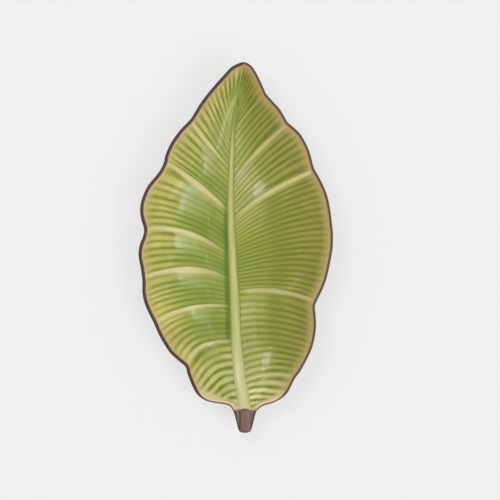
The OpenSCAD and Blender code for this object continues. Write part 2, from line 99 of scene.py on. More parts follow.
# for each side: the ribs in a panel, where the veins leave the midrib, and each vein's angles and reaches;
# then each panel's sag, how pale and how wide each vein is near the midrib, halfway and near the rim, and
# how thin the glaze lies in each panel
sides = {
    "left": {
        "way": -1, "ribs": [11, 7, 8, 6, 7, 7, 9], "countFrom": 0,
        "roots": [0.398, 0.219, 0.104, -0.018, -0.084, -0.158, -0.253, -0.439],
        "veins": [
            (0, 98, 98, 0.33, 0.33), (1, 52, 52, 0.33, 0.33), (2, 42, 28, 0.33, 0.33),
            (3, 38, -10, 0.33, 0.33), (4, 27, -19, 0.36, 0.33), (5, 7, -33, 0.33, 0.33),
            (6, 0, -66, 0.5, 0.4), (7, 0, 0, 0.33, 0.33),
        ],
        "sag": [1.7, 1.2, 1, 1, 1, 1, 0.6],
        "paleAlong": [
            (0.05, 0.9, 0.85), (0.45, 1, 0.6), (0.05, 1, 0.75), (0.15, 1, 0.75), (0.3, 0.95, 0.8),
            (0.1, 0.85, 0.8),
        ],
        "wideAlong": [
            (0.8, 1.5, 1.2), (1.9, 2.1, 1.0), (1.3, 1.8, 0.9), (1.4, 2.2, 1.3), (0.8, 1.4, 1.7),
            (0.7, 1.2, 1.3),
        ],
        "thin": [0.55, 0.15, 0, 0.05, 0.05, 0, 0.5],
    },
    "right": {
        "way": 1, "ribs": [7, 6, 7, 21, 13, 5], "countFrom": 100,
        "roots": [0.398, 0.319, 0.183, 0.081, -0.119, -0.361, -0.439],
        "veins": [
            (0, 82, 82, 0.33, 0.33), (1, 62, 48, 0.33, 0.33), (2, 57, 37, 0.33, 0.33),
            (3, 44, 22, 0.33, 0.33), (4, 8, -22, 0.33, 0.33), (5, 28, -8, 0.33, 0.33),
            (6, 0, 0, 0.33, 0.33),
        ],
        "sag": [0.6, 0.8, 1.9, -0.9, 0.6, 0.2],
        "paleAlong": [
            (0.3, 0.15, 0.05), (0.05, 0.65, 0.35), (0.1, 0.7, 0.75), (0.4, 0.45, 0.4), (0.05, 0.4, 0.4),
        ],
        "wideAlong": [(1.2, 1.0, 1.0), (1.3, 1.6, 1.3), (1.5, 1.6, 1.3), (1.6, 1.7, 1.2), (1.0, 1.1, 1.0)],
        "thin": [0.15, 0.25, 0.6, 0.05, 0.2, 1],
    },
}
baseY = sides["left"]["roots"][-1] * leafForm["length"]
pointY = sides["left"]["roots"][0] * leafForm["length"]
levelLow = leafForm["levelLowShare"] * leafForm["length"]
levelHigh = leafForm["levelHighShare"] * leafForm["length"]
floorTop = leafForm["footHeight"] + leafForm["floorThickness"]
midribStart = pointY - 2 * (leafForm["midribTipWidth"] + leafForm["channel"])


def curve(share, start, end, startSlope, endSlope):
    # a smooth curve from start to end, with the slope that it has at each
    return ((2 * share**3 - 3 * share**2 + 1) * start + (share**3 - 2 * share**2 + share) * startSlope
            + (3 * share**2 - 2 * share**3) * end + (share**3 - share**2) * endSlope)


def smooth(table, u, column):
    # column of the table at u, on a smooth curve through its rows
    rows = np.asarray(table, float)
    x, y = rows[:, 0], rows[:, column]
    order = np.arange(len(x))
    before, after = np.maximum(order - 1, 0), np.minimum(order + 1, len(x) - 1)
    slope = (y[after] - y[before]) / (x[after] - x[before])
    row = np.clip(np.searchsorted(x, u, side="right") - 1, 0, len(x) - 2)
    gap = x[row + 1] - x[row]
    return curve((u - x[row]) / gap, y[row], y[row + 1], slope[row] * gap, slope[row + 1] * gap)


def stack(*columns):
    return np.stack(np.broadcast_arrays(*columns), axis=-1)


def edgeAt(count):
    return stack(smooth(edgeShares, count, 1) * leafForm["width"],
                 smooth(edgeShares, count, 2) * leafForm["length"])


def inward(count):
    step = 0.02
    ahead = edgeAt(np.minimum(count + step, edgeShares[-1][0]))
    behind = edgeAt(np.maximum(count - step, edgeShares[0][0]))
    along = ahead - behind
    return stack(along[..., 1], -along[..., 0]) / np.linalg.norm(along, axis=-1, keepdims=True)


def midlineX(y):
    return smooth(midlineShares, y / leafForm["length"], 1) * leafForm["width"]


def downShare(y):
    return np.maximum(0, (midribStart - y) / (midribStart - baseY))


def midribFull(y):
    thin, wide = leafForm["midribTipWidth"], leafForm["midribWidth"]
    return (thin + (wide - thin) * downShare(y)) / 2


def midribPoint(y):
    reach = leafForm["pointLength"] * leafForm["midribTipWidth"]
    return np.minimum(1, np.maximum(0, midribStart - y) / reach) ** leafForm["pointFullness"]


def seamHalf(y):
    narrow = (midribFull(midribStart) + leafForm["channel"]) * (pointY - y) / (pointY - midribStart)
    return np.where(y > midribStart, narrow, midribFull(y) + leafForm["channel"])


def floorAt(y):
    up = np.maximum(0, (y - levelHigh) / (leafForm["length"] / 2 - levelHigh)) ** 2
    down = np.maximum(0, (levelLow - y) / (levelLow - baseY)) ** 2
    return floorTop + leafForm["tipRise"] * up + leafForm["stemRise"] * down


def rimAt(count):
    rise = smooth(rimRiseShares, count, 1)
    low, side, tip = leafForm["stemRim"], leafForm["sideRim"], leafForm["tipRim"]
    top = np.where(rise <= 1, low + (side - low) * rise, side + (tip - side) * (rise - 1))
    toEnd = np.minimum(count - edgeShares[0][0], edgeShares[-1][0] - count)
    ends = np.minimum(1, np.abs(count)) * np.minimum(1, 2 * toEnd)
    return top - leafForm["notchDip"] * ends * (1 + np.cos(2 * np.pi * count)) / 2


def climb(across):
    flat = leafForm["levelShare"]
    return (np.maximum(0, across - flat) / (1 - flat)) ** leafForm["wallClimb"]


def plainHeight(y, across, rim):
    top = rim - leafForm["edgeDepth"] * leafForm["faceDropShare"]
    return floorAt(y) * (1 - climb(across)) + top * climb(across)


def rowPlaces(side, count, across):
    # places seen from above: one row for each panel count, one column for each share across
    way, veins = side["way"], side["veins"]
    rootY = np.interp(count, np.arange(len(side["roots"])), side["roots"]) * leafForm["length"]
    rootTurn, rimTurn = np.radians(smooth(veins, count, 1)), np.radians(smooth(veins, count, 2))
    start = stack(midlineX(rootY) + way * seamHalf(rootY), rootY)
    end = edgeAt(way * count) + inward(way * count) * leafForm["rimWidth"]
    span = np.linalg.norm(end - start, axis=-1)[:, None]
    leave = start + span * smooth(veins, count, 3)[:, None] * stack(way * np.cos(rootTurn), np.sin(rootTurn))
    arrive = end - span * smooth(veins, count, 4)[:, None] * stack(way * np.cos(rimTurn), np.sin(rimTurn))
    t = across[None, :, None]
    places = ((1 - t)**3 * start[:, None] + 3 * (1 - t)**2 * t * leave[:, None]
              + 3 * (1 - t) * t**2 * arrive[:, None] + t**3 * end[:, None])
    places[count >= len(side["ribs"]), :, 1] = baseY
    return places


def rowCounts(side, stepsPerRib):
    # panel counts of the rows, and the ribs counted up to each
    count = []
    for panel, ribs in enumerate(side["ribs"]):
        count += [panel + step / (stepsPerRib * ribs) for step in range(stepsPerRib * ribs)]
    passed = np.arange(len(count) + 1) / stepsPerRib
    return np.array(count + [len(side["ribs"])]), passed


def through(points, samples):
    # more columns on smooth curves through the given ones
    last = points.shape[1] - 1
    slope = np.empty_like(points)
    slope[:, 1:-1] = (points[:, 2:] - points[:, :-2]) / 2
    slope[:, 0], slope[:, -1] = points[:, 1] - points[:, 0], points[:, -1] - points[:, -2]
    u = np.linspace(0, last, samples)
    column = np.minimum(u.astype(int), last - 1)
    share = (u - column)[None, :, None]
    return curve(share, points[:, column], points[:, column + 1], slope[:, column], slope[:, column + 1])


def deselectAll():
    bpy.ops.object.select_all(action="DESELECT")


def selectOnly(pieces):
    deselectAll()
    for piece in pieces:
        piece.select_set(True)
    bpy.context.view_layer.objects.active = pieces[0]


def editAll(step, **settings):
    # one step of edit mode on the whole of the active piece
    bpy.ops.object.mode_set(mode="EDIT")
    bpy.ops.mesh.select_all(action="SELECT")
    step(**settings)
    bpy.ops.object.mode_set(mode="OBJECT")


def readVectors(items, key):
    values = np.empty(len(items) * 3)
    items.foreach_get(key, values)
    return values.reshape(-1, 3)


def layGrid(name, points, maps, upward=True):
    # a grid primitive, its vertices then laid on the form; maps are UV maps of the same size
    rows, columns = points.shape[:2]
    deselectAll()
    bpy.ops.mesh.primitive_grid_add(x_subdivisions=columns - 1, y_subdivisions=rows - 1, size=1)
    piece = bpy.context.object
    piece.name = name
    mesh = piece.data
    mesh.name = name
    flat = readVectors(mesh.vertices, "co")
    column = np.rint((flat[:, 0] + 0.5) * (columns - 1)).astype(int)
    row = np.rint((flat[:, 1] + 0.5) * (rows - 1)).astype(int)
    mesh.vertices.foreach_set("co", (points[row, column] * millimetre).ravel())
    corner = np.empty(len(mesh.loops), dtype=int)
    mesh.loops.foreach_get("vertex_index", corner)
    mesh.uv_layers.remove(mesh.uv_layers[0])
    for key, values in maps.items():
        layer = mesh.uv_layers.new(name=key)
        layer.data.foreach_set("uv", values[row[corner], column[corner]].ravel())
    mesh.update()
    if (readVectors(mesh.polygons, "normal")[:, 2].sum() > 0) != upward:
        editAll(bpy.ops.mesh.flip_normals)
    return piece


def joinPieces(pieces, weld):
    # join, and weld the rows where the pieces meet
    selectOnly(pieces)
    if len(pieces) > 1:
        bpy.ops.object.join()
    editAll(bpy.ops.mesh.remove_doubles, threshold=weld * millimetre)
    return bpy.context.object


def thicken(piece, thickness):
    # give a surface its wall, on the side away from its normals
    selectOnly([piece])
    wall = piece.modifiers.new("wall", "SOLIDIFY")
    wall.thickness = thickness * millimetre
    wall.offset = -1
    wall.use_rim = True
    bpy.ops.object.modifier_apply(modifier=wall.name)
    bpy.ops.object.shade_smooth()


# helpers for the materials
def shade(red, green, blue):
    # a colour as a screen shows it, 0 to 255
    def linear(value):
        value /= 255
        return value / 12.92 if value <= 0.04045 else ((value + 0.055) / 1.055) ** 2.4
    return (linear(red), linear(green), linear(blue), 1)


def place(tree, kind, inputs=None, **settings):
    made = tree.nodes.new(kind)
    for key, value in settings.items():
        setattr(made, key, value)
    for key, value in (inputs or {}).items():
        if isinstance(value, bpy.types.NodeSocket):
            tree.links.new(value, made.inputs[key])
        else:
            made.inputs[key].default_value = value
    return made


def sums(tree, operation, a, b=0.0, c=0.0):
    return place(tree, "ShaderNodeMath", {0: a, 1: b, 2: c}, operation=operation).outputs[0]


def plus(tree, a, b):
    return sums(tree, "ADD", a, b)


def minus(tree, a, b):
    return sums(tree, "SUBTRACT", a, b)


def times(tree, a, b):
    return sums(tree, "MULTIPLY", a, b)


def away(tree, value, middle):
    return sums(tree, "ABSOLUTE", minus(tree, value, middle))


def either(tree, switch, values):
    # the first value where the switch is 0, the second where it is 1
    return sums(tree, "MULTIPLY_ADD", switch, values[1] - values[0], values[0])


def swing(tree, noise, amount):
    # noise from 0 to 1 turned into a swing about nought, this much in all
    return sums(tree, "MULTIPLY_ADD", noise, amount, -amount / 2)


def fade(tree, value, low, high, start=0.0, end=1.0):
    # soft step from start to end while the value goes from low to high
    return place(tree, "ShaderNodeMapRange", {"Value": value, "From Min": low, "From Max": high,
                 "To Min": start, "To Max": end}, interpolation_type="SMOOTHSTEP").outputs[0]


def mixed(tree, share, first, second):
    return place(tree, "ShaderNodeMix", {0: share, 6: first, 7: second}, data_type="RGBA").outputs[2]


def mottle(tree, spot, scale, detail=2.0, roughness=0.5):
    return place(tree, "ShaderNodeTexNoise", {"Vector": spot, "Scale": scale, "Detail": detail,
                 "Roughness": roughness}).outputs[0]


def uvPair(tree, name):
    uv = place(tree, "ShaderNodeUVMap", uv_map=name).outputs[0]
    parts = place(tree, "ShaderNodeSeparateXYZ", {0: uv})
    return parts.outputs[0], parts.outputs[1]


def vector(tree, x, y, z=0.0):
    return place(tree, "ShaderNodeCombineXYZ", {0: x, 1: y, 2: z}).outputs[0]


def newMaterial(name, roughness, specular=0.5):
    material = bpy.data.materials.new(name)
    material.use_nodes = True
    shader = material.node_tree.nodes["Principled BSDF"]
    shader.inputs["Roughness"].default_value = roughness
    shader.inputs["Specular IOR Level"].default_value = specular
    return material, material.node_tree, shader


def dress(piece, material):
    piece.data.materials.clear()
    piece.data.materials.append(material)


# glazed face of the leaf: rows run from the tip to the stem, columns from the midrib to the rim
faceLook = {
    "stepsPerRib": 8, "columns": 52, "veinHalf": 1.2, "veinHeight": 0.6, "ribSwing": 0.025, "ribSpacing": 5,
    "panelSag": 1.1, "sagLean": 0.75, "sagFullness": 1.6, "veinStops": [0.05, 0.5, 0.95], "weld": 0.01,
    "reliefShares": [(0, 0), (0.2, 0.85), (0.42, 1), (0.66, 1), (0.85, 0.9), (1, 0.3)],
}


def arcFrom(points, axis):
    # distance along rows (axis 1) or down the columns (axis 0)
    steps = np.linalg.norm(np.diff(points, axis=axis), axis=-1)
    first = np.zeros_like(np.take(steps, [0], axis=axis))
    return np.concatenate([first, np.cumsum(steps, axis=axis)], axis=axis)


def faceSurface(side):
    count, passed = rowCounts(side, faceLook["stepsPerRib"])
    across = np.linspace(0, 1, faceLook["columns"])
    places = rowPlaces(side, count, across)
    rim = rimAt(side["way"] * count)
    down = arcFrom(places, 0)
    veinRows = [faceLook["stepsPerRib"] * sum(side["ribs"][:p]) for p in range(1, len(side["ribs"]))]
    apart = np.array([np.abs(down - down[row]) for row in veinRows])
    toVein = apart.min(axis=0)
    nearest = apart.argmin(axis=0)[None]

    def alongVein(levels):
        table = np.array([np.interp(across, faceLook["veinStops"], row) for row in levels])
        return np.take_along_axis(np.broadcast_to(table[:, None, :], apart.shape), nearest, axis=0)[0]

    strength = smooth(faceLook["reliefShares"], across, 1)[None, :]
    # shallower waves where the ribs run close together
    spacing = np.gradient(down, passed, axis=0)
    wave = np.cos(2 * np.pi * passed)[:, None] * np.minimum(1, spacing / faceLook["ribSpacing"]) ** 2
    vein = np.exp(-(toVein / faceLook["veinHalf"]) ** 2)
    depth = np.array(side["sag"])[np.minimum(count.astype(int), len(side["sag"]) - 1)] * np.minimum(1, count)
    bulge = np.sin(np.pi * across ** faceLook["sagLean"]) ** faceLook["sagFullness"]
    sag = (depth * np.sin(np.pi * (count % 1)))[:, None] * bulge[None, :]
    height = (plainHeight(places[..., 1], across[None, :], rim[:, None]) - faceLook["panelSag"] * sag
              + strength * (faceLook["ribSwing"] * wave + faceLook["veinHeight"] * vein) + leafForm["glaze"])
    fromSeam = arcFrom(places, 1)
    toRim = fromSeam[:, -1:] - fromSeam
    thin = np.interp(count, np.arange(len(side["thin"])) + 0.5, side["thin"])
    maps = {
        "thinMap": stack(thin[:, None], 0 * toRim),
        "leafMap": stack(count[:, None], across[None, :]),
        "ribMap": stack(passed[:, None] + side["countFrom"], toRim),
        "veinMap": stack(toVein / alongVein(side["wideAlong"]), alongVein(side["paleAlong"])),
    }
    return np.concatenate([places, height[..., None]], axis=-1), maps


faceSurfaces = {name: faceSurface(side) for name, side in sides.items()}
faceParts = [layGrid("faceGlaze" + name, points, maps) for name, (points, maps) in faceSurfaces.items()]
faceGlaze = joinPieces(faceParts, faceLook["weld"])
faceGlaze.name = "faceGlaze"
thicken(faceGlaze, leafForm["glaze"])
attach(faceGlaze, "root")
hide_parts("face_glaze")
print("face glaze laid:", len(faceGlaze.data.polygons), "faces")


# midrib under its own pale glaze, with the channel on each side
midribLook = {
    "stations": 420, "columns": 28, "start": 0.5, "overlap": 0.25, "dip": 0.06, "fullness": 0.7,
    "leastHalf": 0.3,
}


def midribSurface():
    y = np.linspace(pointY - midribLook["start"], baseY, midribLook["stations"])[:, None]
    out = np.linspace(-1, 1, midribLook["columns"])[None, :] * (seamHalf(y) + midribLook["overlap"])
    half = midribFull(y) * midribPoint(y)
    inside = np.clip(out / np.maximum(half, 1e-6), -1, 1)
    low, high = leafForm["midribTipHeight"], leafForm["midribHeight"]
    rise = (low + (high - low) * downShare(y)) * midribPoint(y) * (1 - inside**2) ** midribLook["fullness"]
    beyond = np.maximum(0, np.abs(out) - seamHalf(y)) / midribLook["overlap"]
    z = floorAt(y) + leafForm["glaze"] + rise - midribLook["dip"] * beyond
    maps = {"midribMap": stack(out / np.maximum(half, midribLook["leastHalf"]), y)}
    return stack(midlineX(y) + out, y, z), maps


midribPoints, midribMaps = midribSurface()
midribGlaze = layGrid("midribGlaze", midribPoints, midribMaps)
thicken(midribGlaze, leafForm["glaze"])
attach(midribGlaze, "root")
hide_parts("midrib_glaze")
print("midrib glaze laid")


# brown rim, rolled over the edge, and the brown coat under the leaf
rimLook = {"columns": 15, "underColumns": 16, "underShares": [0.78, 0.56, 0.4], "weld": 0.01}


def rimSurfaces(side, facePoints):
    count = rowCounts(side, faceLook["stepsPerRib"])[0]
    way = side["way"]
    edge, into, rim = edgeAt(way * count), inward(way * count), rimAt(way * count)
    into[-1] = (-way, 0)
    depth, coat = leafForm["edgeDepth"], leafForm["coat"]

    def at(distance, height):
        return np.concatenate([edge + into * distance, height[:, None]], axis=-1)

    bands = [facePoints[:, -1], at(leafForm["rimWidth"] * leafForm["crestShare"], rim),
             at(0.0, rim - depth * leafForm["outerDropShare"]), at(leafForm["edgeTuck"], rim - depth - coat)]
    for band in bands[1:]:
        band[-1, 1] = baseY
    roll = through(np.stack(bands, axis=1), rimLook["columns"])
    roll[..., 2] = np.minimum(roll[..., 2], rim[:, None])
    # nothing stands outside the solid's own box
    low, high = (np.array(corner) / millimetre for corner in cadBounds)
    roll = np.clip(roll, low, high)
    shares = np.array(rimLook["underShares"])
    places = rowPlaces(side, count, shares)
    raised = np.where(shares > leafForm["flatShare"], shares, 0)
    under = plainHeight(places[..., 1], raised[None, :], rim[:, None]) - leafForm["floorThickness"] - coat
    belly = np.concatenate([places, under[..., None]], axis=-1)
    belly = through(np.concatenate([bands[-1][:, None], belly], axis=1), rimLook["underColumns"])
    rimMap = stack(count[:, None] + side["countFrom"], np.linspace(0, 1, rimLook["columns"])[None, :])
    bellyMap = stack(count[:, None], np.linspace(0, 1, rimLook["underColumns"])[None, :])
    return roll, {"rimMap": rimMap}, belly, {"bellyMap": bellyMap}


rimParts, bellyParts = [], []
for name, side in sides.items():
    roll, rimMap, belly, bellyMap = rimSurfaces(side, faceSurfaces[name][0])
    rimParts.append(layGrid("rim" + name, roll, rimMap))
    bellyParts.append(layGrid("belly" + name, belly, bellyMap, upward=False))
rimCoat = joinPieces(rimParts, rimLook["weld"])
rimCoat.name = "rimCoat"
thicken(rimCoat, leafForm["coat"])
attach(rimCoat, "root")
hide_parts("rim_coat")
undersideCoat = joinPieces(bellyParts, rimLook["weld"])
undersideCoat.name = "undersideCoat"
thicken(undersideCoat, leafForm["coat"])
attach(undersideCoat, "root")
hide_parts("underside_coat")
print("rim and underside laid")


# the clay under its coats: copies of the solids, merged, their tops kept just under the glaze
clayLook = {
    "weld": 0.002, "leafLower": 1.8, "midribLower": 0.2, "upward": 0.3, "endY": -96, "endInset": 0.5,
    "smoothAngle": 35,
}


def copyNode(node, name, lower):
    source = bpy.data.objects[node]
    piece = source.copy()
    piece.data = source.data.copy()
    piece.name = name
    bpy.context.collection.objects.link(piece)
    piece = joinPieces([piece], clayLook["weld"])
    mesh = piece.data
    normals, spots = readVectors(mesh.vertices, "normal"), readVectors(mesh.vertices, "co")
    tops = normals[:, 2] > clayLook["upward"]
    spots[tops, 2] -= lower * millimetre
    # and its narrow end just inside the brown coat
    end = (spots[:, 1] < clayLook["endY"] * millimetre) & ~tops
    spots[end] -= normals[end] * clayLook["endInset"] * millimetre
    mesh.vertices.foreach_set("co", spots.ravel())
    mesh.update()
    bpy.ops.object.shade_smooth_by_angle(angle=math.radians(clayLook["smoothAngle"]))
    return piece


leafClay = copyNode("leaf_body", "leafClay", clayLook["leafLower"])
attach(leafClay, "root")
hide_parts("leaf_body")
midribClay = copyNode("midrib", "midribClay", clayLook["midribLower"])
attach(midribClay, "root")
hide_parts("midrib")
print("clay laid")


# stem stub: a flat oval drawn down to a blunt end, with the midrib running on along its top
stemLook = {
    "width": 18.5, "thickness": 6.6, "lift": 2, "ribShare": 0.46, "ribHeight": 1.9,
    "thinning": 0.6, "boxiness": 0.7, "sides": 120, "stations": 60, "weld": 0.005, "smoothAngle": 50,
    "shares": [(0, 1), (0.22, 0.84), (0.44, 0.74), (0.67, 0.63), (0.86, 0.53), (0.95, 0.43), (1, 0.24)],
}


def stemSurface():
    u = np.linspace(0, 1, stemLook["stations"])[:, None]
    turn = np.linspace(0, 2 * np.pi, stemLook["sides"] + 1)[None, :]
    w = smooth(stemLook["shares"], u, 1)
    x = stemLook["width"] / 2 * w * np.cos(turn)
    up = np.sin(turn)
    rib = 1 - (2 * x / (stemLook["ribShare"] * stemLook["width"])) ** 2
    rib = np.where(up > 0, stemLook["ribHeight"] * np.sqrt(np.maximum(0, rib)) * np.sqrt(w), 0)
    middle = floorTop + leafForm["stemRise"] - leafForm["floorThickness"] + stemLook["thickness"] / 2
    lift = stemLook["lift"] * u**2
    body = np.sign(up) * stemLook["thickness"] / 2 * w ** stemLook["thinning"]
    body = body * np.abs(up) ** stemLook["boxiness"]
    y = baseY - u * (leafForm["length"] / 2 + baseY)
    return stack(midlineX(baseY) + x, y, middle + lift + body + rib), {"stemMap": stack(turn, u)}


stemPoints, stemMaps = stemSurface()
stem = layGrid("stemStub", stemPoints, stemMaps)
stem = joinPieces([stem], stemLook["weld"])
# close both ends
bpy.ops.object.mode_set(mode="EDIT")
bpy.ops.mesh.select_all(action="DESELECT")
bpy.ops.mesh.select_non_manifold()
bpy.ops.mesh.edge_face_add()
bpy.ops.mesh.select_all(action="SELECT")
bpy.ops.mesh.normals_make_consistent(inside=False)
bpy.ops.object.mode_set(mode="OBJECT")
bpy.ops.object.shade_smooth_by_angle(angle=math.radians(stemLook["smoothAngle"]))
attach(stem, "root")
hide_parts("stem")
print("stem laid")


# foot ring: a torus primitive laid round the foot's oval, its lower edges rounded
footLook = {
    "length": 112, "width": 50, "wall": 5, "height": 2.2, "middleShare": -0.033, "full": 1.24, "soft": 0.7,
    "around": 180, "section": 20, "startWall": 0.25, "smoothAngle": 50,
}


def footSurface():
    deselectAll()
    bpy.ops.mesh.primitive_torus_add(major_segments=footLook["around"], minor_segments=footLook["section"],
                                     major_radius=1, minor_radius=footLook["startWall"])
    ring = bpy.context.object
    ring.name = ring.data.name = "footRing"
    spots = readVectors(ring.data.vertices, "co")
    turn = np.arctan2(spots[:, 1], spots[:, 0])
    out = np.arctan2(spots[:, 2], np.hypot(spots[:, 0], spots[:, 1]) - 1)
    # a rounded box section: flat faces, soft corners
    box = footLook["soft"] / footLook["wall"]
    dx, dz = np.cos(out), np.sin(out)
    reach = 1 / (np.abs(dx) ** (1 / box) + np.abs(dz) ** (1 / box)) ** box
    mid = (footLook["wall"] / 2) * reach * dx
    oval = stack(np.sign(np.cos(turn)) * np.abs(np.cos(turn)) ** footLook["full"], np.sin(turn))
    half = stack(footLook["width"] / 2 - footLook["wall"] / 2 + mid,
                 footLook["length"] / 2 - footLook["wall"] / 2 + mid)
    middleY = footLook["middleShare"] * leafForm["length"]
    spots[:, 0] = midlineX(middleY) + half[:, 0] * oval[:, 0]
    spots[:, 1] = middleY + half[:, 1] * oval[:, 1]
    spots[:, 2] = footLook["height"] / 2 * (1 + reach * dz)
    ring.data.vertices.foreach_set("co", (spots * millimetre).ravel())
    ring.data.update()
    bpy.ops.object.shade_smooth_by_angle(angle=math.radians(footLook["smoothAngle"]))
    return ring


footRing = footSurface()
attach(footRing, "root")
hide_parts("foot_ring")
print("foot ring laid")


# colours; where there are three, they run from the midrib to the rim
colours = {
    # near the rim the left side's colours are paler and the right side's darker: painted light on the left
    # wall, which faces the light from the right, and painted shade on the right wall, which faces away from
    # it
    "leftRib": [shade(174, 182, 84), shade(172, 182, 82), shade(216, 208, 116)],
    "leftGroove": [shade(111, 132, 34), shade(116, 136, 38), shade(160, 158, 66)],
    "rightRib": [shade(170, 176, 70), shade(164, 169, 62), shade(158, 153, 70)],
    "rightGroove": [shade(108, 126, 26), shade(106, 120, 22), shade(126, 124, 42)],
    # the mid green at the end of the next line is a painted reflection, lifting the grooves where soft lamps
    # are mirrored in the glaze
    "pool": shade(98, 126, 22), "deep": shade(112, 128, 26), "paintedReflection": shade(148, 161, 80),
    "thinRib": shade(240, 230, 158), "thinGroove": shade(126, 130, 52), "trench": shade(78, 104, 22),
    "vein": shade(230, 216, 160), "veinGlow": shade(200, 194, 112),
    "margin": shade(206, 188, 112), "cream": shade(228, 212, 162),
    "lip": shade(218, 178, 136), "lipRight": shade(196, 160, 106),
    "midrib": shade(206, 204, 136), "midribDark": shade(186, 186, 108), "channel": shade(132, 148, 62),
    "midribLow": shade(216, 213, 160), "channelLow": shade(168, 172, 104),
    "tipGreen": shade(140, 156, 72),
    # brown coats and clay
    "rimDark": shade(34, 21, 14), "rimMid": shade(54, 37, 27), "rimPale": shade(112, 86, 68),
    "rimThin": shade(140, 112, 92),
    "stem": shade(116, 95, 84), "stemDark": shade(68, 44, 38), "stemRed": shade(140, 108, 102),
    # the stem's pale colour, next, is a painted highlight on its left flank
    "stemHighlight": shade(152, 124, 118), "stemGlaze": shade(150, 138, 82),
    "clay": shade(178, 146, 116), "clayDark": shade(146, 112, 84), "clayPale": shade(204, 178, 148),
    "under": shade(74, 54, 46), "underPale": shade(112, 86, 70),
}
rightFrom = 90.0  # counts in the maps are above this on the right

firedLook = {
    "broad": 60.0, "fine": 700.0, "specks": 1400.0, "speckStep": (0.66, 0.78),
    "broadShare": 0.7, "fineShare": 0.3,
}


def buildSurfaceGroup():
    # small unevenness of a fired surface: a height, a mottle and specks, from object coordinates
    group = bpy.data.node_groups.new("firedSurface", "ShaderNodeTree")
    group.interface.new_socket("Scale", in_out="INPUT", socket_type="NodeSocketFloat")
    for name in ("Mottle", "Specks", "Height"):
        group.interface.new_socket(name, in_out="OUTPUT", socket_type="NodeSocketFloat")
    start = group.nodes.new("NodeGroupInput")
    end = group.nodes.new("NodeGroupOutput")
    spot = place(group, "ShaderNodeTexCoord").outputs["Object"]

    def grain(key, detail, roughness=0.5):
        return mottle(group, spot, times(group, start.outputs["Scale"], firedLook[key]), detail, roughness)

    broad, fine = grain("broad", 3.0, 0.55), grain("fine", 2.0, 0.6)
    specks = fade(group, grain("specks", 1.0), *firedLook["speckStep"])
    height = plus(group, times(group, broad, firedLook["broadShare"]),
                  times(group, fine, firedLook["fineShare"]))
    for name, made in (("Mottle", broad), ("Specks", specks), ("Height", height)):
        group.links.new(made, end.inputs[name])
    return group


firedSurface = buildSurfaceGroup()


def startFinish(name, look):
    # a material with the fired surface in it, and its soft steps by their names in the look
    material, tree, shader = newMaterial(name, look["roughness"], look.get("specular", 0.5))
    made = tree.nodes.new("ShaderNodeGroup")
    made.node_tree = firedSurface
    made.inputs["Scale"].default_value = look["grain"]

    def step(value, key):
        return fade(tree, value, *look[key])

    return material, tree, made.outputs, step


def finishWith(tree, colour, look, fired, worn):
    # the worn value varies the roughness
    shader = tree.nodes["Principled BSDF"]
    tree.links.new(colour, shader.inputs["Base Color"])
    if "rough" in look:
        tree.links.new(fade(tree, worn, *look["rough"]), shader.inputs["Roughness"])
    bump = place(tree, "ShaderNodeBump", {"Height": fired["Height"], "Strength": 1.0,
                 "Distance": look["bump"] * millimetre})
    tree.links.new(bump.outputs[0], shader.inputs["Normal"])


def layers(tree, colour, *shares):
    # one colour after another laid over what is there, each as far as its share says
    for share, key in shares:
        colour = mixed(tree, share, colour, colours[key])
    return colour


def lipColour(tree, right, creamy):
    lip = mixed(tree, right, colours["lip"], colours["lipRight"])
    return mixed(tree, creamy, lip, colours["cream"])


def ramp(tree, across, key):
    first, second, third = colours[key]
    inner = mixed(tree, fade(tree, across, 0.1, 0.5), first, second)
    return mixed(tree, fade(tree, across, 0.5, 0.9), inner, third)


# in the look of each finish, a bracket holds the limits of a soft step, from none to full, and where it
# holds four values, the last two say how much that is; a name with Sides holds the left and the right
greenLook = {
    "roughness": 0.07, "grain": 1.0, "bump": 0.05, "specks": 0.1,
    # ribs and grooves, along a wave of -1 in the groove to 1 on the rib
    "wanderScale": 30.0, "wander": 0.36, "ribStretch": 2.4, "ribNoise": 1.1, "uneven": 2.6,
    "unevenSides": (1.0, 0.65), "grooveSides": (-1.2, -1.5), "ribSides": (0.7, 1.2),
    "innerHalf": (0.66, 0.45), "fainterSides": (-0.5, -0.3), "middleTone": 0.6, "stemWaves": (5.9, 6.2),
    # pools
    "poolPanel": (0.25, 0.62), "poolAcross": (0.66, 0.25), "poolPatches": (0.32, 0.6, 0.3, 0.95),
    "poolSides": (1.0, 0.55), "poolOnRibs": 0.6, "poolMist": (0.62, 0.4, 0.0, 0.22),
    # thin glaze, held back in the outer half on the right as painted shade, and the painted reflection over
    # the upper part of each panel
    "outerHalf": (0.4, 0.7), "outerPanels": (6.3, 5.8), "shadedOuterThin": (1.0, 0.2), "thinOnGrooves": 0.5,
    "calmPanel": (0.42, 0.1), "calmMiddle": 0.4, "calmReach": (0.32, 0.12), "calmSides": (0.75, 0.25),
    "calmOnRibs": 0.5,
    # the band and the tip's shade on the right, and the dark line on the left
    "bandRise": (0.28, 0.46), "bandFall": (0.7, 0.52), "bandEnd": (6.2, 5.6, 0.0, 0.4),
    "bandStart": (0.4, 1.6), "tipPanel": (1.0, 0.6), "tipAcross": (0.3, 0.12, 0.0, 0.8),
    "lineAcross": (0.085, 0.03), "lineStart": (1.6, 2.2, 0.0, 0.7), "lineEnd": (6.1, 5.8),
    # margin and lip, in millimetres from the rim, and the cream near the stem
    "edgeWander": 4.0, "margin": (7.0, 0.5), "marginSides": (0.6, 0.5), "creamPanel": (6.2, 6.7),
    "cream": (5.5, 1.5), "lipShift": 0.3, "lip": (1.1, 0.4, 0.0, 0.9), "lipSides": (1.0, 0.75),
    "lipCream": (6.2, 6.6),
    # veins, in shares of their width; what has two values holds above the vein and below it
    "veinStart": (0.02, 0.16, 0.2, 1.0), "veinWander": 0.5, "glow": (2.8, 0.8), "glowParts": (0.1, 0.85),
    "coreEdges": (1.1, 1.55), "core": 0.65, "seamMiddle": 0.35, "seam": (0.28, 0.05, 0.0, 0.4),
}


